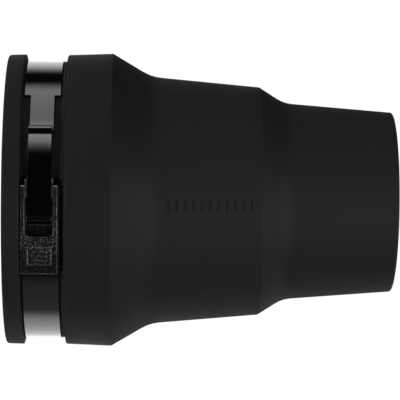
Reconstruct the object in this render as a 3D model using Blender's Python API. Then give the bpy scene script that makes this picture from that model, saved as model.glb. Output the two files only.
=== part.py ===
"""Clamp-on snoot for a 100 mm round flash head.

A silicone moulding (mount collar and two-stage barrel) is squeezed on to the lamp by a spring
steel band, which a small over-centre draw latch pulls tight. The part stands on its wide mount
rim: origin at the centre of that rim, +Z along the snoot to the light outlet, latch at -Y.

Latch shapes are drawn in a plane across the snoot: u points out of the latch (-Y), v points
from the latch towards the band's tongue (-X). A polar angle of 0 degrees is straight out of
the latch, and it grows towards the tongue.
"""

import math

import bmesh
import bpy
from mathutils import Matrix, Vector

MM = 0.001
SMOOTH_ANGLE = 32.0

# Moulding
LENGTH = 154.2
TURN_STEPS = 80
BORE_R = 50.0
STOP_Z = 36.0
STOP_R = 47.0
WALL = 3.2
RIM_R = 58.3
RIM_Z = 6.85
GROOVE_R = 54.9
LEDGE_R = 55.5
GROOVE_Z = (7.3, 22.3)
LEDGE_Z = 23.3

# Clamp band
BAND_R = 55.8
BAND_T = 0.6
BAND_MID_R = BAND_R - BAND_T / 2
BAND_Z = (7.7, 22.0)
TONGUE_Z = (10.1, 19.7)
TONGUE_SHOULDER = 46.3
LOWER_END = 8.6
HEEL_GAP = 0.16

# Keeper: the tongue's end is curled round a cross pin
KEEPER_PIN_R = 0.45
KEEPER_IN_R = 0.5
KEEPER_R = BAND_R + KEEPER_IN_R
KEEPER_ANGLE = math.degrees(math.asin(26.6 / KEEPER_R))

# Draw latch
LATCH_Z = 14.45
LEVER_W = 14.0
LEVER_R = 58.7
SKIRT_R = 56.1
SKIRT_T = 1.55
WEB_R = 57.3
LEVER_END = -29.2
NOTCH_END = -14.3
NOTCH_CORNER = 1.3
POCKET_END = -27.9
PIVOT_R = 57.5
PIVOT_ANGLE = math.degrees(math.asin(4.0 / PIVOT_R))
PIVOT_BOSS_R = 1.25
PIVOT_PIN_R = 0.6
LINK_R = 57.15
LINK_ANGLE = -math.degrees(math.asin(7.4 / LINK_R))
LINK_PIN_R = 0.5
PIN_CLEARANCE = 0.05

STRAP_W = 9.3
STRAP_T = 0.55
STRAP_MID_R = 57.0
HOOK_R = 1.575
ROLL_R = 0.825

BRACKET_R = (55.9, 56.4)
BRACKET_W = 10.7
BRACKET_ANGLES = (-26.0, 8.2)
WINDOW_ANGLES = (-10.0, -5.2)
WINDOW_W = 9.4
EAR_T = 0.5
EAR_R = 58.45
EAR_ANGLES = (0.5, 7.5)
RIVET_ANGLES = (-17.3, -22.7)
RIVET_R = 1.2
RIVET_HEAD_R = 2.0

# Thumb pad on the lever
PAD_ANGLES = (-25.5, -18.2)
PAD_W = 9.4
PAD_LINE = 0.55
PAD_HEIGHT = 0.18
PAD_BARS = 3

# Row of plain marks on the straight taper of the first barrel, given as (z, radius) at its ends
BARREL_TAPER = ((63.5, 49.15), (97.4, 46.2))
MARK_COUNT = 11
MARK_Z = (63.7, 95.9)
MARK_V = (-4.4, -0.2)
MARK_WIDTH = 1.1
MARK_DEPTH = 0.35

MATERIALS = {
    "rubber": ((0.014, 0.014, 0.015), 0.0, 0.72),
    "band_steel": ((0.012, 0.012, 0.013), 0.3, 0.16),
    "cast_lever": ((0.020, 0.020, 0.021), 0.2, 0.42),
    "strap_steel": ((0.014, 0.014, 0.015), 0.3, 0.18),
    "bracket_steel": ((0.018, 0.018, 0.019), 0.4, 0.30),
    "pin_steel": ((0.080, 0.080, 0.083), 0.9, 0.28),
}


def clear_scene():
    for obj in list(bpy.data.objects):
        bpy.data.objects.remove(obj, do_unlink=True)


def material(name, key):
    colour, metallic, roughness = MATERIALS[key]
    mat = bpy.data.materials.new(name + "_material")
    mat.use_nodes = True
    shader = mat.node_tree.nodes["Principled BSDF"]
    shader.inputs["Base Color"].default_value = (*colour, 1.0)
    shader.inputs["Metallic"].default_value = metallic
    shader.inputs["Roughness"].default_value = roughness
    return mat


def at(u, v, z):
    """World position in metres of a latch-plane point given in millimetres."""
    return Vector((-v * MM, -u * MM, z * MM))


def polar(radius, degrees):
    angle = math.radians(degrees)
    return radius * math.cos(angle), radius * math.sin(angle)


def angles_between(start, end, steps):
    return [start + (end - start) * i / steps for i in range(steps + 1)]


def arc(radius, start, end, steps):
    return [polar(radius, a) for a in angles_between(start, end, steps)]


def arc_round(centre, radius, start, end, steps):
    """Arc about a latch-plane centre; angles are measured from the centre's own radial line."""
    base = math.degrees(math.atan2(centre[1], centre[0]))
    points = []
    for angle in angles_between(base + start, base + end, steps):
        du, dv = polar(radius, angle)
        points.append((centre[0] + du, centre[1] + dv))
    return points


def bezier(p0, d0, p1, d1, steps):
    """Interior points of a cubic curve from p0 to p1 with the given end tangents."""
    points = []
    for i in range(1, steps):
        t = i / steps
        a = (1 - t) ** 3
        b = 3 * t * (1 - t) ** 2
        c = 3 * t * t * (1 - t)
        d = t**3
        points.append(
            tuple(
                a * p0[k] + b * (p0[k] + d0[k]) + c * (p1[k] - d1[k]) + d * p1[k]
                for k in range(2)
            )
        )
    return points


def shade(mesh):
    """Smooth round faces with crisp edges between them."""
    for face in mesh.polygons:
        face.use_smooth = True
    mesh.set_sharp_from_angle(angle=math.radians(SMOOTH_ANGLE))


def finish_mesh(name, bm, key):
    """Turns a bmesh into a named object with outward faces and its own material."""
    bmesh.ops.recalc_face_normals(bm, faces=bm.faces)
    mesh = bpy.data.meshes.new(name)
    bm.to_mesh(mesh)
    bm.free()
    shade(mesh)
    mesh.materials.append(material(name, key))
    obj = bpy.data.objects.new(name, mesh)
    bpy.context.scene.collection.objects.link(obj)
    return obj


def revolve(name, profile, key, steps):
    """Closed (radius, z) loop turned about the Z axis."""
    bm = bmesh.new()
    rings = []
    for i in range(steps):
        angle = 2 * math.pi * i / steps
        ring = []
        for radius, z in profile:
            x = radius * math.sin(angle)
            y = -radius * math.cos(angle)
            ring.append(bm.verts.new((x * MM, y * MM, z * MM)))
        rings.append(ring)
    count = len(profile)
    for i in range(steps):
        here = rings[i]
        after = rings[(i + 1) % steps]
        for j in range(count):
            k = (j + 1) % count
            bm.faces.new((here[j], after[j], after[k], here[k]))
    return finish_mesh(name, bm, key)


def prism_into(bm, outline, z0, z1):
    """Adds a latch-plane outline, raised from z0 to z1, to a bmesh."""
    low = [bm.verts.new(at(u, v, z0)) for u, v in outline]
    high = [bm.verts.new(at(u, v, z1)) for u, v in outline]
    count = len(outline)
    bm.faces.new(low)
    bm.faces.new(high[::-1])
    for i in range(count):
        k = (i + 1) % count
        bm.faces.new((low[i], low[k], high[k], high[i]))


def prism(name, outline, z0, z1, key):
    bm = bmesh.new()
    prism_into(bm, outline, z0, z1)
    return finish_mesh(name, bm, key)


def sector(r0, r1, start, end, steps):
    """Outline of a curved bar between two radii and two angles."""
    return arc(r1, start, end, steps) + arc(r0, end, start, steps)


def ribbon(name, path, thickness, widths, key):
    """Strip of sheet metal: centre-line points, and a (z0, z1) pair for every point."""
    bm = bmesh.new()
    rows = []
    last = len(path) - 1
    for i, (u, v) in enumerate(path):
        before = path[max(i - 1, 0)]
        after = path[min(i + 1, last)]
        du = after[0] - before[0]
        dv = after[1] - before[1]
        size = math.hypot(du, dv)
        nu = dv / size * thickness / 2
        nv = -du / size * thickness / 2
        z0, z1 = widths[i]
        rows.append(
            [
                bm.verts.new(at(u + nu, v + nv, z0)),
                bm.verts.new(at(u + nu, v + nv, z1)),
                bm.verts.new(at(u - nu, v - nv, z1)),
                bm.verts.new(at(u - nu, v - nv, z0)),
            ]
        )
    for here, after in zip(rows, rows[1:]):
        for j in range(4):
            k = (j + 1) % 4
            bm.faces.new((here[j], here[k], after[k], after[j]))
    bm.faces.new(rows[0])
    bm.faces.new(rows[-1][::-1])
    return finish_mesh(name, bm, key)


def turned(name, profile, base, direction, key, steps=20):
    """Solid of revolution about any line; the (radius, height) profile starts and ends at 0."""
    turn = direction.to_track_quat("Z", "Y").to_matrix().to_4x4()
    place = Matrix.Translation(base) @ turn
    bm = bmesh.new()
    first = bm.verts.new(place @ Vector((0, 0, profile[0][1] * MM)))
    final = bm.verts.new(place @ Vector((0, 0, profile[-1][1] * MM)))
    rings = []
    for radius, height in profile[1:-1]:
        ring = []
        for i in range(steps):
            angle = 2 * math.pi * i / steps
            local = (radius * math.cos(angle), radius * math.sin(angle), height)
            ring.append(bm.verts.new(place @ (Vector(local) * MM)))
        rings.append(ring)
    for i in range(steps):
        k = (i + 1) % steps
        bm.faces.new((first, rings[0][k], rings[0][i]))
        bm.faces.new((final, rings[-1][i], rings[-1][k]))
        for here, after in zip(rings, rings[1:]):
            bm.faces.new((here[i], here[k], after[k], after[i]))
    return finish_mesh(name, bm, key)


def cross_pin(name, centre, radius, z0, z1, key):
    """Plain pin along Z with small end chamfers."""
    chamfer = radius * 0.25
    length = z1 - z0
    profile = [
        (0, 0),
        (radius - chamfer, 0),
        (radius, chamfer),
        (radius, length - chamfer),
        (radius - chamfer, length),
        (0, length),
    ]
    return turned(name, profile, at(*centre, z0), Vector((0, 0, 1)), key)


def apply_modifiers(obj):
    """Replaces an object's mesh with the result of its modifiers."""
    bpy.context.view_layer.update()
    graph = bpy.context.evaluated_depsgraph_get()
    shaped = bpy.data.meshes.new_from_object(obj.evaluated_get(graph))
    obj.modifiers.clear()
    old = obj.data
    obj.data = shaped
    bpy.data.meshes.remove(old)
    shaped.name = obj.name
    shade(shaped)


def boolean(obj, cutter, operation):
    """Applies one exact Boolean and removes the tool solid."""
    modifier = obj.modifiers.new(operation.lower(), "BOOLEAN")
    modifier.operation = operation
    modifier.solver = "EXACT"
    modifier.object = cutter
    apply_modifiers(obj)
    bpy.data.objects.remove(cutter, do_unlink=True)


def bevel(obj, width, segments, angle):
    """Bakes a Bevel modifier on the edges sharper than the angle."""
    modifier = obj.modifiers.new("edge_round", "BEVEL")
    modifier.width = width * MM
    modifier.segments = segments
    modifier.limit_method = "ANGLE"
    modifier.angle_limit = math.radians(angle)
    apply_modifiers(obj)


def set_origin(obj, point):
    """Moves an object's origin to a world point without moving its mesh."""
    obj.data.transform(Matrix.Translation(-point))
    obj.location = point


# ---------------------------------------------------------------- moulding


def outer_profile():
    """Outside of the moulding from the mount rim to the outlet, as (radius, z)."""
    rim = [(57.0, 0.0), (57.9, 0.35), (RIM_R - 0.1, 1.3), (RIM_R, RIM_Z)]
    groove = [
        (GROOVE_R, GROOVE_Z[0]),
        (GROOVE_R, GROOVE_Z[1]),
        (LEDGE_R, GROOVE_Z[1] + 0.05),
        (LEDGE_R, LEDGE_Z),
    ]
    collar = [(57.9, 23.7), (58.2, 24.3), (58.45, 28.0), (58.65, 34.0), (58.85, 40.0)]
    shoulder = [(58.85, 41.4), (58.6, 42.0), (54.7, 48.9), (51.75, 53.7), (50.5, 56.2)]
    barrel_1 = [(49.8, 58.6), (49.42, 61.0), (49.15, 63.5), (46.2, 97.4), (45.85, 99.9)]
    step = [(45.3, 101.3), (44.3, 103.0), (41.65, 107.2), (40.4, 109.6), (39.65, 112.1)]
    barrel_2 = [(39.3, 114.5), (39.08, 117.0), (36.3, 152.9), (36.1, 153.8), (35.6, LENGTH)]
    return rim + groove + collar + shoulder + barrel_1 + step + barrel_2


def inner_profile():
    """Inside of the moulding from the outlet back to the mount rim, as (radius, z)."""
    outlet = [(33.5, LENGTH), (33.0, 153.6)]
    barrel_2 = [(35.9, 116.4), (36.4, 113.2), (37.3, 110.4)]
    barrel_1 = [(42.2, 101.6), (42.9, 98.6), (46.1, 62.0), (46.7, 58.0)]
    cavity = [(47.9, 54.5), (54.4, 43.6), (54.9, 41.6), (54.3, 40.3)]
    stop = [(STOP_R, 39.3), (STOP_R, STOP_Z), (BORE_R + 0.5, STOP_Z)]
    grip = []
    for z in (29.0, 19.0, 9.0):
        grip += [(BORE_R + 0.5, z + 3.0), (BORE_R, z + 2.2), (BORE_R, z - 2.2)]
        grip += [(BORE_R + 0.5, z - 3.0)]
    mouth = [(BORE_R + 0.5, 1.8), (BORE_R + 1.9, 0.0)]
    return outlet + barrel_2 + barrel_1 + cavity + stop + grip + mouth


def barrel_radius(z):
    """Outside radius on the straight taper of the first barrel."""
    (start_z, start_r), (end_z, end_r) = BARREL_TAPER
    return start_r + (end_r - start_r) * (z - start_z) / (end_z - start_z)


def mark_cutter():
    """Row of short bars that presses a plain scale into the barrel."""
    bm = bmesh.new()
    pitch = (MARK_Z[1] - MARK_Z[0]) / (MARK_COUNT - 1)
    for i in range(MARK_COUNT):
        z = MARK_Z[0] + pitch * i
        floor = barrel_radius(z) - MARK_DEPTH
        outline = [
            (floor, MARK_V[0]),
            (floor + 3, MARK_V[0]),
            (floor + 3, MARK_V[1]),
            (floor, MARK_V[1]),
        ]
        prism_into(bm, outline, z - MARK_WIDTH / 2, z + MARK_WIDTH / 2)
    return finish_mesh("mark_cutter", bm, "rubber")


def build_moulding():
    body = revolve("snoot_body", outer_profile() + inner_profile(), "rubber", TURN_STEPS)
    boolean(body, mark_cutter(), "DIFFERENCE")
    return body


# ---------------------------------------------------------------- clamp band


def build_band():
    lower_path = arc(BAND_MID_R, -180 + HEEL_GAP, LOWER_END, 56)
    lower = ribbon("clamp_band_lower", lower_path, BAND_T, [BAND_Z] * 57, "band_steel")
    wide = arc(BAND_MID_R, 180 - HEEL_GAP, TONGUE_SHOULDER, 40)
    narrow = arc(BAND_MID_R, TONGUE_SHOULDER - 0.15, KEEPER_ANGLE + 0.6, 7)
    centre = polar(KEEPER_R, KEEPER_ANGLE)
    curl = arc_round(centre, KEEPER_IN_R + BAND_T / 2, 180, 465, 20)
    path = wide + narrow + curl
    widths = [BAND_Z] * len(wide) + [TONGUE_Z] * (len(narrow) + len(curl))
    upper = ribbon("clamp_band_upper", path, BAND_T, widths, "band_steel")
    pin_z = (TONGUE_Z[0] - 0.15, TONGUE_Z[1] + 0.15)
    pin = cross_pin("keeper_pin", centre, KEEPER_PIN_R, *pin_z, "pin_steel")
    return lower, upper, pin


# ---------------------------------------------------------------- draw latch


def strap_path():
    """Hook round the keeper, curved strap, and the roll round the link pin."""
    hook_centre = polar(KEEPER_R, KEEPER_ANGLE)
    hook = arc_round(hook_centre, HOOK_R, 99, -38, 16)
    base = math.radians(KEEPER_ANGLE - 38)
    leave = (math.sin(base) * 0.9, -math.cos(base) * 0.9)
    join_angle = KEEPER_ANGLE - 3.0
    join = polar(STRAP_MID_R, join_angle)
    along = math.radians(join_angle)
    run = (math.sin(along) * 0.7, -math.cos(along) * 0.7)
    neck = bezier(hook[-1], leave, join, run, 6)
    rise_angle = LINK_ANGLE + 3.4
    strap = arc(STRAP_MID_R, join_angle, rise_angle, 16)
    roll_centre = polar(LINK_R, LINK_ANGLE)
    roll = arc_round(roll_centre, ROLL_R, 30, -225, 16)
    fall = math.radians(rise_angle)
    start = (math.sin(fall) * 0.9, -math.cos(fall) * 0.9)
    top = math.radians(LINK_ANGLE + 30)
    arrive = (math.sin(top) * 0.7, -math.cos(top) * 0.7)
    shoulder = bezier(strap[-1], start, roll[0], arrive, 6)
    return hook + neck + strap + shoulder + roll


def build_strap():
    path = strap_path()
    widths = [(LATCH_Z - STRAP_W / 2, LATCH_Z + STRAP_W / 2)] * len(path)
    return ribbon("link_strap", path, STRAP_T, widths, "strap_steel")


def lever_outline():
    """Side shape of the lever: a round boss on the pivot, then a bar that follows the band."""
    centre = polar(PIVOT_R, PIVOT_ANGLE)
    boss = arc_round(centre, PIVOT_BOSS_R, 0, 180, 14)
    outer = arc(LEVER_R, LEVER_END, PIVOT_ANGLE - 1.2, 22)
    inner = arc(SKIRT_R, PIVOT_ANGLE - 1.2, LEVER_END, 22)
    return outer + boss + inner


def lever_notch():
    """Opening between the prongs, with cut corners at its closed end."""
    half = LEVER_W / 2 - SKIRT_T
    corner = math.degrees(NOTCH_CORNER / LEVER_R)
    bm = bmesh.new()
    slices = [
        (NOTCH_END, half - NOTCH_CORNER),
        (NOTCH_END + corner, half),
        (PIVOT_ANGLE + 4, half),
    ]
    rings = []
    for angle, width in slices:
        low = polar(SKIRT_R - 3, angle)
        high = polar(LEVER_R + 3, angle)
        rings.append(
            [
                bm.verts.new(at(*low, LATCH_Z - width)),
                bm.verts.new(at(*high, LATCH_Z - width)),
                bm.verts.new(at(*high, LATCH_Z + width)),
                bm.verts.new(at(*low, LATCH_Z + width)),
            ]
        )
    for here, after in zip(rings, rings[1:]):
        for j in range(4):
            k = (j + 1) % 4
            bm.faces.new((here[j], here[k], after[k], after[j]))
    bm.faces.new(rings[0])
    bm.faces.new(rings[-1][::-1])
    return finish_mesh("notch_cutter", bm, "cast_lever")


def hole_cutter(centre, radius):
    profile = [(0, 0), (radius, 0), (radius, 24), (0, 24)]
    base = at(*centre, LATCH_Z - 12)
    return turned("hole_cutter", profile, base, Vector((0, 0, 1)), "pin_steel", 24)


def pad_solids():
    """Raised plain border with evenly spaced grip bars inside it."""
    half = PAD_W / 2
    line = math.degrees(PAD_LINE / LEVER_R)
    low, high = PAD_ANGLES
    pieces = [(low, low + line, half), (high - line, high, half)]
    space = (high - low - line) / (PAD_BARS + 1)
    for i in range(PAD_BARS):
        start = low + space * (i + 1)
        pieces.append((start, start + line, half - 1.6))
    return pieces


def build_lever():
    half = LEVER_W / 2
    lever = prism("latch_lever", lever_outline(), LATCH_Z - half, LATCH_Z + half, "cast_lever")
    boolean(lever, lever_notch(), "DIFFERENCE")
    inner = half - SKIRT_T
    pocket = sector(SKIRT_R - 2, WEB_R, POCKET_END, NOTCH_END + 2, 12)
    cutter = prism("pocket", pocket, LATCH_Z - inner, LATCH_Z + inner, "cast_lever")
    boolean(lever, cutter, "DIFFERENCE")
    bevel(lever, 0.22, 2, 40)
    pivot = polar(PIVOT_R, PIVOT_ANGLE)
    link = polar(LINK_R, LINK_ANGLE)
    boolean(lever, hole_cutter(pivot, PIVOT_PIN_R + PIN_CLEARANCE), "DIFFERENCE")
    boolean(lever, hole_cutter(link, LINK_PIN_R + PIN_CLEARANCE), "DIFFERENCE")
    for start, end, width in pad_solids():
        bar = sector(LEVER_R - 0.4, LEVER_R + PAD_HEIGHT, start, end, 2)
        solid = prism("pad_bar", bar, LATCH_Z - width, LATCH_Z + width, "cast_lever")
        boolean(lever, solid, "UNION")
    low, high = PAD_ANGLES
    for side in (-1, 1):
        edge = LATCH_Z + side * PAD_W / 2
        bar = sector(LEVER_R - 0.4, LEVER_R + PAD_HEIGHT, low + 0.02, high - 0.02, 10)
        z0, z1 = sorted((edge, edge - side * PAD_LINE))
        boolean(lever, prism("pad_side", bar, z0, z1, "cast_lever"), "UNION")
    return lever


def ear_outline():
    low, high = EAR_ANGLES
    corner = 1.1
    left = polar(EAR_R - corner, high - math.degrees(corner / EAR_R))
    right = polar(EAR_R - corner, low + math.degrees(corner / EAR_R))
    top = arc_round(right, corner, -90, 0, 5) + arc_round(left, corner, 0, 90, 5)
    return top + [polar(BRACKET_R[0] + 0.1, high), polar(BRACKET_R[0] + 0.1, low)]


def build_bracket():
    half = BRACKET_W / 2
    base = sector(*BRACKET_R, *BRACKET_ANGLES, 24)
    bracket = prism("latch_bracket", base, LATCH_Z - half, LATCH_Z + half, "bracket_steel")
    window = sector(BRACKET_R[0] - 2, BRACKET_R[1] + 2, *WINDOW_ANGLES, 4)
    z0, z1 = LATCH_Z - WINDOW_W / 2, LATCH_Z + WINDOW_W / 2
    boolean(bracket, prism("window", window, z0, z1, "bracket_steel"), "DIFFERENCE")
    for side in (-1, 1):
        outer = LATCH_Z + side * half
        z0, z1 = sorted((outer, outer - side * EAR_T))
        boolean(bracket, prism("ear", ear_outline(), z0, z1, "bracket_steel"), "UNION")
    pivot = polar(PIVOT_R, PIVOT_ANGLE)
    boolean(bracket, hole_cutter(pivot, PIVOT_PIN_R + PIN_CLEARANCE), "DIFFERENCE")
    return bracket


def radial_cutter(angle, radius):
    direction = at(*polar(1, angle), 0).normalized()
    base = at(*polar(50, angle), LATCH_Z)
    profile = [(0, 0), (radius, 0), (radius, 12), (0, 12)]
    return turned("rivet_hole", profile, base, direction, "pin_steel", 20)


def build_rivets(bracket, band):
    """Two button rivets that hold the bracket on the band."""
    rivets = []
    for i, angle in enumerate(RIVET_ANGLES):
        boolean(bracket, radial_cutter(angle, RIVET_R + PIN_CLEARANCE), "DIFFERENCE")
        boolean(band, radial_cutter(angle, RIVET_R + PIN_CLEARANCE), "DIFFERENCE")
        direction = at(*polar(1, angle), 0).normalized()
        base = at(*polar(55.15, angle), LATCH_Z)
        under = BRACKET_R[1] - 55.15 + 0.04
        profile = [
            (0, 0),
            (RIVET_R, 0),
            (RIVET_R, under),
            (RIVET_HEAD_R, under),
            (RIVET_HEAD_R - 0.15, under + 0.25),
            (RIVET_HEAD_R - 0.8, under + 0.5),
            (0, under + 0.56),
        ]
        name = "bracket_rivet_%d" % (i + 1)
        rivets.append(turned(name, profile, base, direction, "pin_steel"))
    return rivets


def build_pivots():
    """Stub rivets through each prong and its ear, which leave the middle free for the strap."""
    pivot = polar(PIVOT_R, PIVOT_ANGLE)
    outer = LEVER_W / 2 + 0.06
    inner = BRACKET_W / 2 - EAR_T - 0.05
    rear = (LATCH_Z - outer, LATCH_Z - inner)
    front = (LATCH_Z + inner, LATCH_Z + outer)
    return (
        cross_pin("pivot_rivet_rear", pivot, PIVOT_PIN_R, *rear, "pin_steel"),
        cross_pin("pivot_rivet_front", pivot, PIVOT_PIN_R, *front, "pin_steel"),
    )


def build_link_pin():
    half = LEVER_W / 2 - 0.1
    link = polar(LINK_R, LINK_ANGLE)
    return cross_pin("link_pin", link, LINK_PIN_R, LATCH_Z - half, LATCH_Z + half, "pin_steel")


def main():
    clear_scene()
    build_moulding()
    lower, upper, keeper_pin = build_band()
    bracket = build_bracket()
    build_rivets(bracket, lower)
    build_pivots()
    lever = build_lever()
    link_pin = build_link_pin()
    strap = build_strap()
    heel = at(-BAND_MID_R, 0, 0)
    pivot = at(*polar(PIVOT_R, PIVOT_ANGLE), 0)
    link = at(*polar(LINK_R, LINK_ANGLE), 0)
    for obj in (upper, keeper_pin):
        set_origin(obj, heel)
    for obj in (lever, link_pin):
        set_origin(obj, pivot)
    set_origin(strap, link)


main()
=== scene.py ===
"""Looks of the clamp-on snoot: finer meshes over the fixed frame, materials, light and camera.

The frame stands upright: +Z runs along the snoot to its outlet, -Y points out of the latch, and
-X runs from the latch to the band's tongue. Lengths are in millimetres until they are multiplied
by MM or passed through at(). Angles are in degrees. Latch shapes use a plane across the snoot:
u is -Y, v is -X, and angles in it run from u towards v.
"""

import math

import bmesh
import bpy
from mathutils import Matrix, Vector


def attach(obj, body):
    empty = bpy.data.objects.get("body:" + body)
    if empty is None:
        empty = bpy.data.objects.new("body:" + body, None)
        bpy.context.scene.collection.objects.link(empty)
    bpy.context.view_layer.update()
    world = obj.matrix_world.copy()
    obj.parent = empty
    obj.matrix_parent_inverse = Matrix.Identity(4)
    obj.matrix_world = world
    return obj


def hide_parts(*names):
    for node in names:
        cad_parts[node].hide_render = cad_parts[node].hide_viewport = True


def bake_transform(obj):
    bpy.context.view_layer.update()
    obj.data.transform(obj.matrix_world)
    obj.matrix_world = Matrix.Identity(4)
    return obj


MM = 0.001

# Moulding: corners of the section as (radius, z, rounding)
LENGTH = 154.2
TURN_STEPS = 224
TURN_SHARP = 50
BORE_R = 50.5
GROOVE_Z = (7.3, 22.3)
OUTSIDE = [
    (58.05, 0.0, 1.1),
    (58.28, 6.85, 0.35),
    (54.9, GROOVE_Z[0], 0.3),
    (54.9, GROOVE_Z[1], 0.02),
    (55.5, GROOVE_Z[1] + 0.05, 0.02),
    (55.5, 23.3, 0.25),
    (58.15, 23.75, 0.8),
    (58.85, 41.7, 0.55),
    (49.74, 57.2, 17.0),
    (45.92, 100.5, 1.3),
    (39.6, 110.5, 14.0),
    (36.2, LENGTH, 1.0),
]
INSIDE = [
    (33.3, LENGTH, 0.6),
    (36.68, 109.5, 9.0),
    (43.0, 99.5, 4.0),
    (46.86, 55.8, 10.0),
    (54.9, 42.4, 1.2),
    (54.3, 40.3, 0.5),
    (47.0, 39.3, 0.5),
    (47.0, 36.0, 0.4),
    (BORE_R, 36.0, 0.4),
]
MOUTH = [(BORE_R, 1.8, 0.4), (51.9, 0.0, 0.3)]

# Grip bands in the bore: each is a low step with sloped sides
GRIP_R = 50.0
GRIP_Z = (29.0, 19.0, 9.0)
GRIP_HALF_FOOT = 3.0
GRIP_HALF_TOP = 2.2
GRIP_ROUND = 0.3

# Rounding of sheet metal edges, and of the edges of the carried-over frame nodes
SHEET_EDGE = 0.14
NODE_EDGE = 0.1
LEVER_EDGE = 0.22
NODE_SHARP = 35

# Clamp band and keeper. The band is cut from full width to the tongue at the shoulder.
BAND_R = 55.8
BAND_T = 0.6
BAND_MID_R = BAND_R - BAND_T / 2
BAND_Z = (7.7, 22.0)
TONGUE_Z = (10.1, 19.7)
TONGUE_SHOULDER = 46.3
SHOULDER_CUT = 0.06
LOWER_END = 8.6
KEEPER_V = 26.6
KEEPER_IN_R = 0.5
KEEPER_R = BAND_R + KEEPER_IN_R
KEEPER_ANGLE = math.degrees(math.asin(KEEPER_V / KEEPER_R))
CURL_TURN = (180, 465)

# Draw strap. Turns are measured from the direction out of the snoot at the keeper or link pin,
# and the two bends lead from the hook to the strap and from the strap to its roll.
LATCH_Z = 14.45
STRAP_W = 9.3
STRAP_T = 0.55
STRAP_MID_R = 57.0
HOOK_R = 1.575
HOOK_TURN = (99, -38)
ROLL_R = 0.825
ROLL_TURN = (30, -225)
LINK_V = 7.4
LINK_R = 57.15
LINK_ANGLE = -math.degrees(math.asin(LINK_V / LINK_R))
BEND_LEAD = 0.9
BEND_LAND = 0.7
BEND_STEPS = 10
STRAP_START = KEEPER_ANGLE - 3.0
STRAP_END = LINK_ANGLE + 3.4

# Plain marks on the straight taper of the first barrel, given as (z, radius) at its ends
BARREL_TAPER = ((63.5, 49.15), (97.4, 46.2))
MARK_COUNT = 11
MARK_Z = (63.7, 95.9)
MARK_V = (-4.4, -0.2)
MARK_WIDTH = 1.1
MARK_DEPTH = 0.35
MARK_REACH = 3.0

# Blue of every grey finish, against its red and green
COOLNESS = 1.02

# Places along the lever where its finish changes, as x at the start and end of the change
PRONG_ROOTS = (10.0, 13.0)
PAD_TOP = (16.5, 18.5)
PAD_FACE = (17.0, 21.0)
# The next two mark painted highlights: the lever's end edge and the prong tips.
LIP_PAINTED_HIGHLIGHT = (28.2, 28.6)
TIP_PAINTED_HIGHLIGHT = (-4.7, -5.1)

# Light: (name, azimuth, half width, elevation, half height, (side, top) softness, strength)
STRIP = (-2.4, 3)
LOW = (-32, 18)
SOFTBOXES = [
    ("front, beyond the outlet", -12, 26, 50, 14, (12, 6), 3.3),
    ("low wing of that box", -50, 20, 34, 10, (10, 6), 1.4),
    ("front, behind the rim", -8, 28, -57, 14, (12, 6), 3.4),
    ("rear, beyond the outlet", -158, 36, 40, 24, (12, 8), 0.7),
    ("strip by the tongue", 75, 31, *STRIP, (8, 1), 2.5),
    ("bright end of that strip", 55, 9, *STRIP, (6, 1), 2.4),
    ("strip behind the tongue", 157, 22, *STRIP, (10, 1), 1.6),
    ("strip behind the lever", -143, 33, *STRIP, (8, 1), 1.9),
    ("strip by the lever", -88, 20, *STRIP, (8, 1), 0.33),
    ("low box, left", 42, 9, *LOW, (4, 6), 0.7),
    ("low box, right", -42, 9, *LOW, (4, 6), 0.7),
    ("low box, rear left", 118, 10, *LOW, (4, 6), 1.3),
    ("low box, rear", 178, 10, *LOW, (4, 6), 1.3),
    ("low box, rear right", -118, 10, *LOW, (4, 6), 1.3),
]
AMBIENT = 0.012

# Brightness of the white floor and surround
STAGE_GLOW = 1.02

# Camera: a place and an aim in metres, and how far the view is rolled
CAMERA_PLACE = (-0.0002, -0.964, 0.0529)
CAMERA_AIM = (-0.0002, 0.0, 0.0771)
LENS = 214.7
ROLL = 0.48


def at(u, v, z):
    return Vector((-v * MM, -u * MM, z * MM))


def polar(radius, degrees):
    angle = math.radians(degrees)
    return radius * math.cos(angle), radius * math.sin(angle)


def arc(radius, start, end, steps):
    return [polar(radius, start + (end - start) * i / steps) for i in range(steps + 1)]


def heading(degrees, length):
    """Step of a length along a circle, at an angle on it, the way in which angles fall."""
    angle = math.radians(degrees)
    return math.sin(angle) * length, -math.cos(angle) * length


def arc_round(centre, radius, start, end, steps):
    """Arc round a centre, with its angles counted from the direction out of the snoot there."""
    base = math.degrees(math.atan2(centre[1], centre[0]))
    points = []
    for i in range(steps + 1):
        du, dv = polar(radius, base + start + (end - start) * i / steps)
        points.append((centre[0] + du, centre[1] + dv))
    return points


def bezier(p0, d0, p1, d1, steps):
    """Inner points of a smooth bend that leaves p0 along d0 and reaches p1 along d1."""
    points = []
    for i in range(1, steps):
        t = i / steps
        weights = ((1 - t) ** 3, 3 * t * (1 - t) ** 2, 3 * t * t * (1 - t), t**3)
        corners = (p0, (p0[0] + d0[0], p0[1] + d0[1]), (p1[0] - d1[0], p1[1] - d1[1]), p1)
        points.append(tuple(sum(w * c[k] for w, c in zip(weights, corners)) for k in range(2)))
    return points


def rounded(corners):
    """Replaces every corner (x, y, radius) of a polygon with an arc of that radius."""
    points = []
    count = len(corners)
    for i, (x, y, radius) in enumerate(corners):
        here = Vector((x, y))
        before = Vector(corners[i - 1][:2]) - here
        after = Vector(corners[(i + 1) % count][:2]) - here
        half = before.angle(after) / 2
        cut = min(radius / math.tan(half), before.length * 0.49, after.length * 0.49)
        start = here + before.normalized() * cut
        end = here + after.normalized() * cut
        bend = math.degrees(math.pi - 2 * half)
        steps = max(2, min(14, int(bend / 9) + 1))
        for k in range(steps + 1):
            t = k / steps
            points.append(start * (1 - t) ** 2 + here * 2 * t * (1 - t) + end * t * t)
    return [(p.x, p.y) for p in points]


def smooth(mesh, sharp_angle):
    for face in mesh.polygons:
        face.use_smooth = True
    mesh.set_sharp_from_angle(angle=math.radians(sharp_angle))


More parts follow.
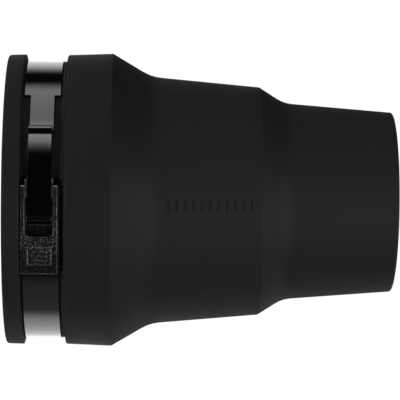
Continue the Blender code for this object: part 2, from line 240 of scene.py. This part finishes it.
def new_object(name, bm, sharp_angle=40):
    bmesh.ops.recalc_face_normals(bm, faces=bm.faces)
    mesh = bpy.data.meshes.new(name)
    bm.to_mesh(mesh)
    bm.free()
    smooth(mesh, sharp_angle)
    obj = bpy.data.objects.new(name, mesh)
    bpy.context.scene.collection.objects.link(obj)
    return obj


def apply_modifiers(obj, sharp_angle):
    bpy.context.view_layer.update()
    graph = bpy.context.evaluated_depsgraph_get()
    shaped = bpy.data.meshes.new_from_object(obj.evaluated_get(graph))
    obj.modifiers.clear()
    old = obj.data
    obj.data = shaped
    bpy.data.meshes.remove(old)
    shaped.name = obj.name
    smooth(shaped, sharp_angle)


# ---------------------------------------------------------------- moulding


def section():
    """The moulding's whole section as one closed loop of (radius, z)."""
    corners = list(OUTSIDE) + list(INSIDE)
    for z in GRIP_Z:
        corners.append((BORE_R, z + GRIP_HALF_FOOT, GRIP_ROUND))
        corners.append((GRIP_R, z + GRIP_HALF_TOP, GRIP_ROUND))
        corners.append((GRIP_R, z - GRIP_HALF_TOP, GRIP_ROUND))
        corners.append((BORE_R, z - GRIP_HALF_FOOT, GRIP_ROUND))
    return rounded(corners + MOUTH)


def revolve(name, profile, steps):
    bm = bmesh.new()
    rings = []
    for i in range(steps):
        angle = 2 * math.pi * i / steps
        side = math.sin(angle)
        front = -math.cos(angle)
        rings.append([bm.verts.new((r * side * MM, r * front * MM, z * MM)) for r, z in profile])
    count = len(profile)
    for i in range(steps):
        here = rings[i]
        after = rings[(i + 1) % steps]
        for j in range(count):
            k = (j + 1) % count
            bm.faces.new((here[j], after[j], after[k], here[k]))
    return new_object(name, bm, TURN_SHARP)


def barrel_radius(z):
    (start_z, start_r), (end_z, end_r) = BARREL_TAPER
    return start_r + (end_r - start_r) * (z - start_z) / (end_z - start_z)


def press_marks(body):
    """Presses the row of short bars into the barrel."""
    bm = bmesh.new()
    pitch = (MARK_Z[1] - MARK_Z[0]) / (MARK_COUNT - 1)
    for i in range(MARK_COUNT):
        z = MARK_Z[0] + pitch * i
        floor = barrel_radius(z) - MARK_DEPTH
        low = [(floor, v, z - MARK_WIDTH / 2) for v in MARK_V]
        high = [(floor, v, z + MARK_WIDTH / 2) for v in MARK_V]
        base = [bm.verts.new(at(*corner)) for corner in low + high[::-1]]
        bottom = bm.faces.new(base)
        raised = bmesh.ops.extrude_face_region(bm, geom=[bottom])["geom"]
        top = [part for part in raised if isinstance(part, bmesh.types.BMVert)]
        bmesh.ops.translate(bm, verts=top, vec=at(MARK_REACH, 0, 0))
    cutter = new_object("mark_cutter", bm)
    modifier = body.modifiers.new("marks", "BOOLEAN")
    modifier.operation = "DIFFERENCE"
    modifier.solver = "EXACT"
    modifier.object = cutter
    apply_modifiers(body, TURN_SHARP)
    bpy.data.objects.remove(cutter, do_unlink=True)


def build_moulding():
    body = revolve("snoot_moulding", section(), TURN_STEPS)
    press_marks(body)
    body.data.materials.clear()
    body.data.materials.append(rubber_material())
    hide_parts("snoot_body")
    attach(body, "snoot")


# ---------------------------------------------------------------- sheet metal


def ribbon_side(thickness, edge):
    """Rounded long edge of a strip, as (height, depth into the strip), from one face to the other.

    The first and last points lie on the flat faces, so that these stay flat in their shading.
    """
    half = thickness / 2
    near = [(half, 2 * edge), (half, edge), (half - edge * 0.3, edge * 0.3), (half - edge, 0)]
    return near + [(-height, depth) for height, depth in reversed(near)]


def ribbon(name, path, thickness, widths):
    """Strip of sheet metal along a path, with rounded long edges. widths holds each row's two z."""
    bm = bmesh.new()
    rows = []
    last = len(path) - 1
    side = ribbon_side(thickness, SHEET_EDGE)
    for i, (u, v) in enumerate(path):
        before = path[max(i - 1, 0)]
        after = path[min(i + 1, last)]
        du = after[0] - before[0]
        dv = after[1] - before[1]
        size = math.hypot(du, dv)
        nu = dv / size
        nv = -du / size
        z0, z1 = widths[i]
        ring = [(height, z0 + depth) for height, depth in side]
        ring += [(height, z1 - depth) for height, depth in reversed(side)]
        rows.append([bm.verts.new(at(u + nu * height, v + nv * height, z)) for height, z in ring])
    count = len(rows[0])
    for here, after in zip(rows, rows[1:]):
        for j in range(count):
            k = (j + 1) % count
            bm.faces.new((here[j], here[k], after[k], after[j]))
    bm.faces.new(rows[0])
    bm.faces.new(rows[-1][::-1])
    return new_object(name, bm)


def build_band():
    """One strip right round the groove, in place of the frame's two band halves."""
    lower = arc(BAND_MID_R, LOWER_END, -180, 120)
    wide = arc(BAND_MID_R, 180, TONGUE_SHOULDER, 84)[1:]
    narrow = arc(BAND_MID_R, TONGUE_SHOULDER - SHOULDER_CUT, KEEPER_ANGLE + 0.3, 14)
    keeper = polar(KEEPER_R, KEEPER_ANGLE)
    curl = arc_round(keeper, KEEPER_IN_R + BAND_T / 2, *CURL_TURN, 30)
    path = lower + wide + narrow + curl
    widths = [BAND_Z] * (len(lower) + len(wide)) + [TONGUE_Z] * (len(narrow) + len(curl))
    band = ribbon("clamp_band", path, BAND_T, widths)
    band.data.materials.append(band_material())
    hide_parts("clamp_band_lower", "clamp_band_upper")
    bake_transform(band)


def strap_path():
    """Hook round the keeper, curved strap, and the roll round the link pin."""
    hook = arc_round(polar(KEEPER_R, KEEPER_ANGLE), HOOK_R, *HOOK_TURN, 26)
    strap = arc(STRAP_MID_R, STRAP_START, STRAP_END, 40)
    roll = arc_round(polar(LINK_R, LINK_ANGLE), ROLL_R, *ROLL_TURN, 28)
    off_hook = heading(KEEPER_ANGLE + HOOK_TURN[1], BEND_LEAD)
    neck = bezier(hook[-1], off_hook, strap[0], heading(STRAP_START, BEND_LAND), BEND_STEPS)
    on_roll = heading(LINK_ANGLE + ROLL_TURN[0], BEND_LAND)
    shoulder = bezier(strap[-1], heading(STRAP_END, BEND_LEAD), roll[0], on_roll, BEND_STEPS)
    return hook + neck + strap + shoulder + roll


def build_strap():
    path = strap_path()
    widths = [(LATCH_Z - STRAP_W / 2, LATCH_Z + STRAP_W / 2)] * len(path)
    strap = ribbon("draw_strap", path, STRAP_T, widths)
    strap.data.materials.append(strap_material())
    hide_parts("link_strap")
    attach(strap, "strap")


# ---------------------------------------------------------------- materials


class Graph:
    """Small helper that adds and links shader nodes."""

    clamp = False

    def add_node(self, kind, **inputs):
        """New node whose named inputs are set to a number or linked to another node's output."""
        node = self.tree.nodes.new(kind)
        for socket, value in inputs.items():
            self.feed(value, node.inputs[socket.replace("_", " ")])
        return node

    def feed(self, value, socket):
        if isinstance(value, (int, float, tuple)):
            socket.default_value = value
        else:
            self.tree.links.new(value, socket)

    def math(self, operation, first, second=None):
        node = self.tree.nodes.new("ShaderNodeMath")
        node.operation = operation
        node.use_clamp = self.clamp
        self.feed(first, node.inputs[0])
        if second is not None:
            self.feed(second, node.inputs[1])
        return node.outputs[0]

    def part(self, vector, axis):
        return self.add_node("ShaderNodeSeparateXYZ", Vector=vector).outputs[axis]


class Nodes(Graph):
    """A material with a Principled shader. Its places are those of the object's own mesh."""

    clamp = True

    def __init__(self, name):
        self.material = bpy.data.materials.new(name)
        self.material.use_nodes = True
        self.tree = self.material.node_tree
        self.shader = self.tree.nodes["Principled BSDF"]
        self.place = self.tree.nodes.new("ShaderNodeTexCoord").outputs["Object"]
        self.round_off = None

    def link(self, source, socket):
        self.tree.links.new(source, self.shader.inputs[socket])

    def fix(self, **values):
        for socket, value in values.items():
            self.shader.inputs[socket.replace("_", " ")].default_value = value

    def noise(self, scale, detail=4.0, stretch=(1, 1, 1)):
        stretched = self.add_node("ShaderNodeMapping", Vector=self.place, Scale=stretch)
        vector = stretched.outputs["Vector"]
        noise = self.add_node("ShaderNodeTexNoise", Vector=vector, Scale=scale, Detail=detail)
        return noise.outputs["Fac"]

    def position(self, axis):
        return self.part(self.place, axis)

    def radius(self):
        """Distance from the snoot's axis."""
        flat = self.add_node("ShaderNodeMapping", Vector=self.place, Scale=(1, 1, 0))
        size = self.tree.nodes.new("ShaderNodeVectorMath")
        size.operation = "LENGTH"
        self.feed(flat.outputs["Vector"], size.inputs[0])
        return size.outputs["Value"]

    def ramp(self, source, start, end, low, high):
        """Maps start to end of a value on to low to high, clamped."""
        span = {"From_Min": start, "From_Max": end, "To_Min": low, "To_Max": high}
        return self.add_node("ShaderNodeMapRange", Value=source, **span).outputs["Result"]

    def step(self, source, places, low, high):
        """A ramp between two places given in millimetres."""
        return self.ramp(source, places[0] * MM, places[1] * MM, low, high)

    def blend(self, factor, dark, light):
        """Colour between two greys or two linked colours."""
        mix = self.tree.nodes.new("ShaderNodeMix")
        mix.data_type = "RGBA"
        for socket, value in ((mix.inputs["A"], dark), (mix.inputs["B"], light)):
            grey = isinstance(value, float)
            self.feed((value, value, value * COOLNESS, 1) if grey else value, socket)
        self.feed(factor, mix.inputs["Factor"])
        return mix.outputs["Result"]

    def edges(self, radius, mask):
        """1 along sharp edges within radius millimetres, multiplied by a mask."""
        bevel = self.add_node("ShaderNodeBevel", Radius=radius * MM)
        bevel.samples = 6
        self.round_off = bevel.outputs["Normal"]
        shape = self.tree.nodes.new("ShaderNodeNewGeometry")
        dot = self.tree.nodes.new("ShaderNodeVectorMath")
        dot.operation = "DOT_PRODUCT"
        self.feed(self.round_off, dot.inputs[0])
        self.feed(shape.outputs["Normal"], dot.inputs[1])
        sharp = self.ramp(dot.outputs["Value"], 0.995, 0.93, 0.0, 1.0)
        return self.math("MULTIPLY", sharp, mask)

    def spread(self, texture, low=0.0, high=1.0):
        """Spreads the middle of a texture's range over low to high."""
        return self.ramp(texture, 0.3, 0.7, low, high)

    def bump(self, height, distance):
        """Bump of distance millimetres, on top of the rounded edges if edges() came first."""
        bump = self.add_node("ShaderNodeBump", Strength=1.0, Distance=distance * MM, Height=height)
        if self.round_off:
            self.feed(self.round_off, bump.inputs["Normal"])
        self.link(bump.outputs["Normal"], "Normal")


def groove_painted_shade(n, height):
    """1 in the band groove, on the outside of the moulding; it places painted shade there."""
    above = n.step(height, (GROOVE_Z[0], GROOVE_Z[0] + 0.3), 0.0, 1.0)
    below = n.step(height, (GROOVE_Z[1] + 0.6, GROOVE_Z[1] + 0.1), 0.0, 1.0)
    outer = n.step(n.radius(), (53.5, 54.0), 0.0, 1.0)
    return n.math("MULTIPLY", outer, n.math("MULTIPLY", above, below))


def mark_painted_shade(n, height):
    """1 on the floors of the marks, which lie just under the taper of the barrel; it places painted
    shade there.
    """
    (start_z, start_r), (end_z, end_r) = BARREL_TAPER
    slope = (start_r - end_r) / (end_z - start_z)
    surface = n.math("SUBTRACT", (start_r + slope * start_z) * MM, n.math("MULTIPLY", height, slope))
    depth = n.math("SUBTRACT", surface, n.radius())
    sunk = n.step(depth, (0.12, 0.25), 0.0, 1.0)
    shallow = n.step(depth, (0.6, 0.8), 1.0, 0.0)
    on_barrel = n.step(height, (end_z - 0.2, end_z + 0.1), 1.0, 0.0)
    return n.math("MULTIPLY", n.math("MULTIPLY", sunk, shallow), on_barrel)


def rubber_material():
    """Matte silicone: near black, with fine moulded grain. Painted light and shade make the collar
    darker and the barrels paler; painted shade darkens the band groove and marks; the edges are
    painted paler, partly as rubbing and partly as a painted highlight."""
    n = Nodes("silicone_rubber")
    height = n.position("Z")
    cloud = n.noise(22.0, 3.0)
    mottle = n.spread(cloud)
    # Painted light and shade: the collar is painted darker and the barrels paler, for how the light
    # falls along the snoot.
    barrel = n.blend(mottle, 0.0145, 0.0175)
    collar = n.blend(mottle, 0.01, 0.0125)
    base = n.blend(n.step(height, (38.0, 62.0), 0.0, 1.0), collar, barrel)
    # Paler edges: partly rubbing, partly a painted highlight on the moulding's creases.
    lighter_edges = n.edges(1.2, n.ramp(n.noise(90.0), 0.3, 0.6, 0.25, 0.7))
    skin = n.blend(lighter_edges, base, 0.03)
    # Painted shade: the band groove and the floors of the marks are darkened towards near black.
    recess_painted_shade = n.math("MAXIMUM", groove_painted_shade(n, height), mark_painted_shade(n, height))
    n.link(n.blend(recess_painted_shade, skin, 0.004), "Base Color")
    n.link(n.spread(cloud, 0.6, 0.68), "Roughness")
    n.bump(n.noise(2400.0, 2.0), 0.02)
    n.fix(IOR=1.42)
    return n.material


def gloss_material(name, haze_scale):
    """Gloss black finish on rolled spring steel, with hazy handling marks and faint rolling lines."""
    n = Nodes(name)
    haze = n.noise(haze_scale, 5.0)
    drawn = n.noise(900.0, 2.0, (1, 1, 12))
    n.link(n.blend(n.spread(haze), 0.0012, 0.0024), "Base Color")
    n.link(n.spread(haze, 0.07, 0.11), "Roughness")
    n.bump(drawn, 0.0003)
    n.fix(IOR=1.5)
    return n


def band_material():
    return gloss_material("band_gloss", 60.0).material


def strap_material():
    """The band's finish, with a painted highlight: its edges turn to uncoated steel along the stretch
    by the prongs.
    """
    n = gloss_material("strap_gloss", 90.0)
    # Painted highlight: bright metal edges only along this stretch of the strap, where the edge
    # highlight falls.
    lighter_edges = n.edges(0.15, n.step(n.position("X"), (-9.5, -6.5), 0.0, 1.0))
    n.link(n.blend(lighter_edges, 0.0018, 0.5), "Base Color")
    n.link(lighter_edges, "Metallic")
    return n.material


def cast_material():
    """Black cast lever: pebbled surface, with edges of uncoated metal that are partly wear and partly
    a painted highlight.

    The edges facing the outlet, the lever's end edge and the prong tips are painted highlights.
    """
    n = Nodes("cast_black")
    along = n.position("X")
    pebble = n.noise(2300.0, 1.0)
    land = n.math("MULTIPLY", n.step(along, PRONG_ROOTS, 0.3, 1.0), n.step(along, PAD_FACE, 1.0, 0.25))
    specks = n.math("MULTIPLY", n.ramp(pebble, 0.57, 0.64, 0.0, 1.0), land)
    base = n.blend(specks, 0.001, 0.3)
    broken = n.ramp(n.noise(1100.0, 1.0), 0.42, 0.56, 0.15, 1.0)
    patchy = n.math("MULTIPLY", broken, n.step(along, PAD_TOP, 1.0, 0.7))
    # Painted highlight along the lever's end edge.
    lip_painted_highlight = n.step(along, LIP_PAINTED_HIGHLIGHT, 0.0, 1.0)
    # Edge mask: partly wear, partly painted highlight.
    edge_mask_wear_and_painted_highlight = n.edges(0.34, n.math("MAXIMUM", patchy, lip_painted_highlight))
    # Painted highlight: edges facing the outlet are made brighter, for the light that falls from that
    # side.
    outlet_side_painted_highlight = n.ramp(n.part(n.round_off, "Z"), -0.02, 0.2, 0.2, 1.0)
    lighter_edges = n.math("MULTIPLY", edge_mask_wear_and_painted_highlight, n.math("MAXIMUM", outlet_side_painted_highlight, lip_painted_highlight))
    # Painted highlight: the prong tips are made uncoated metal.
    uncoated_wear_and_painted_highlight = n.math("MAXIMUM", lighter_edges, n.step(along, TIP_PAINTED_HIGHLIGHT, 0.0, 1.0))
    n.link(n.blend(uncoated_wear_and_painted_highlight, base, 0.95), "Base Color")
    n.link(uncoated_wear_and_painted_highlight, "Metallic")
    coat = n.spread(n.noise(180.0, 3.0), 0.3, 0.4)
    n.link(n.math("MAXIMUM", coat, n.ramp(uncoated_wear_and_painted_highlight, 0.2, 1.0, 0.0, 0.55)), "Roughness")
    n.bump(pebble, 0.2)
    n.fix(IOR=1.5, Specular_IOR_Level=0.2)
    return n.material


def bracket_material():
    """Blackened pressed steel; its edges turn to uncoated metal, partly as wear and partly as a
    painted highlight.
    """
    n = Nodes("bracket_satin")
    haze = n.noise(300.0, 4.0)
    base = n.blend(n.spread(haze), 0.004, 0.008)
    # Edge mask: partly wear, partly a painted highlight on the ears' edges.
    lighter_edges = n.edges(0.2, n.ramp(n.noise(600.0), 0.35, 0.6, 0.5, 1.0))
    n.link(n.blend(lighter_edges, base, 0.8), "Base Color")
    n.link(lighter_edges, "Metallic")
    coat = n.spread(haze, 0.22, 0.34)
    n.link(n.math("MAXIMUM", coat, n.ramp(lighter_edges, 0.2, 1.0, 0.0, 0.5)), "Roughness")
    n.fix(IOR=1.5)
    return n.material


def pin_material():
    """Dark oxide steel pins with turned ends."""
    n = Nodes("pin_dark")
    haze = n.noise(700.0, 3.0)
    base = n.blend(n.spread(haze), 0.04, 0.09)
    lighter_edges = n.edges(0.15, n.ramp(n.noise(900.0), 0.35, 0.6, 0.2, 0.9))
    n.link(n.blend(lighter_edges, base, 0.3), "Base Color")
    n.link(n.spread(haze, 0.28, 0.42), "Roughness")
    n.fix(Metallic=1.0)
    return n.material


def soften_edges(obj, width):
    bevel = obj.modifiers.new("soft edges", "BEVEL")
    bevel.limit_method = "ANGLE"
    bevel.angle_limit = math.radians(NODE_SHARP)
    bevel.width = width * MM
    bevel.segments = 3


def dress_nodes(nodes):
    """Gives the carried-over frame nodes their materials and soft edges."""
    finishes = {"latch_lever": cast_material(), "latch_bracket": bracket_material()}
    pins = pin_material()
    for name, obj in nodes.items():
        obj.data.materials.clear()
        obj.data.materials.append(finishes.get(name, pins))
        soften_edges(obj, LEVER_EDGE if name == "latch_lever" else NODE_EDGE)


# ---------------------------------------------------------------- stage


def build_stage():
    """White floor and surround, seen by the camera only, so that the softboxes shape the object."""
    bpy.ops.mesh.primitive_plane_add(size=8, location=(0, 0, -0.0002))
    floor = bpy.context.object
    floor.name = "studio_floor"
    bpy.ops.mesh.primitive_uv_sphere_add(radius=4, segments=48, ring_count=24)
    surround = bpy.context.object
    surround.name = "studio_surround"
    for obj in (floor, surround):
        mat = bpy.data.materials.new(obj.name + "_white")
        mat.use_nodes = True
        nodes = mat.node_tree.nodes
        nodes.remove(nodes["Principled BSDF"])
        glow = nodes.new("ShaderNodeEmission")
        glow.inputs["Strength"].default_value = STAGE_GLOW
        mat.node_tree.links.new(glow.outputs[0], nodes["Material Output"].inputs["Surface"])
        obj.data.materials.append(mat)
        obj.visible_diffuse = False
        obj.visible_glossy = False
        obj.visible_transmission = False
        obj.visible_shadow = False


class Softboxes(Graph):
    """World light made of soft-edged boxes, each placed by azimuth and elevation in degrees.

    Azimuth 0 is the latch side (-Y) and 90 is the tongue's side (-X); elevation is up from the floor.
    """

    def __init__(self):
        world = bpy.data.worlds.new("studio_light")
        bpy.context.scene.world = world
        world.use_nodes = True
        self.tree = world.node_tree
        way = self.tree.nodes.new("ShaderNodeTexCoord").outputs["Generated"]
        west = self.math("MULTIPLY", self.part(way, "X"), -1.0)
        south = self.math("MULTIPLY", self.part(way, "Y"), -1.0)
        self.azimuth = self.math("ARCTAN2", west, south)
        self.elevation = self.math("ARCSINE", self.part(way, "Z"))
        self.total = AMBIENT

    def window(self, offset, half, soft):
        """1 inside half degrees and 0 outside, with an edge that is 2 * soft wide."""
        span = {"From_Min": math.radians(half + soft), "From_Max": math.radians(half - soft)}
        size = self.math("ABSOLUTE", offset)
        ranged = self.add_node("ShaderNodeMapRange", Value=size, **span)
        ranged.interpolation_type = "SMOOTHSTEP"
        return ranged.outputs["Result"]

    def add(self, azimuth, half_width, elevation, half_height, soft, strength):
        turned = self.math("SUBTRACT", self.azimuth, math.radians(azimuth))
        sine = self.math("SINE", turned)
        cosine = self.math("COSINE", turned)
        across = self.window(self.math("ARCTAN2", sine, cosine), half_width, soft[0])
        raised = self.math("SUBTRACT", self.elevation, math.radians(elevation))
        up = self.window(raised, half_height, soft[1])
        light = self.math("MULTIPLY", self.math("MULTIPLY", across, up), strength)
        self.total = self.math("ADD", self.total, light)

    def finish(self):
        background = self.tree.nodes["Background"]
        background.inputs["Color"].default_value = (1, 1, 1, 1)
        self.feed(self.total, background.inputs["Strength"])


def build_lights():
    boxes = Softboxes()
    for box in SOFTBOXES:
        boxes.add(*box[1:])
    boxes.finish()


def build_camera():
    """Camera that faces the latch, turned so that the outlet lies to the right."""
    camera = bpy.data.cameras.new("camera")
    camera.lens = LENS
    camera.sensor_width = 36
    camera.clip_start = 0.05
    camera.clip_end = 20
    obj = bpy.data.objects.new("camera", camera)
    bpy.context.scene.collection.objects.link(obj)
    place = Vector(CAMERA_PLACE)
    look = (Vector(CAMERA_AIM) - place).normalized()
    up = Vector((0, 0, 1)).cross(look).normalized()
    right = look.cross(up)
    level = Matrix((right, up, -look)).transposed()
    matrix = (level @ Matrix.Rotation(math.radians(ROLL), 3, "Z")).to_4x4()
    matrix.translation = place
    obj.matrix_world = matrix
    bpy.context.scene.camera = obj


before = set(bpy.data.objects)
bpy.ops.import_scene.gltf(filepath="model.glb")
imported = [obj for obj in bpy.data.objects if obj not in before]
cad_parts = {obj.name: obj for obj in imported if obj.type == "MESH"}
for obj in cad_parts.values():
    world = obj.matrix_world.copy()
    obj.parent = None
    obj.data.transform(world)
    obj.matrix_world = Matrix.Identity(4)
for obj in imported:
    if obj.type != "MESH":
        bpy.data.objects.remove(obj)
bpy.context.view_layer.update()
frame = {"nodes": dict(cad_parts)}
bpy.context.scene.view_settings.view_transform = "Standard"
dress_nodes(frame["nodes"])
build_moulding()
build_band()
build_strap()
build_stage()
build_lights()
build_camera()
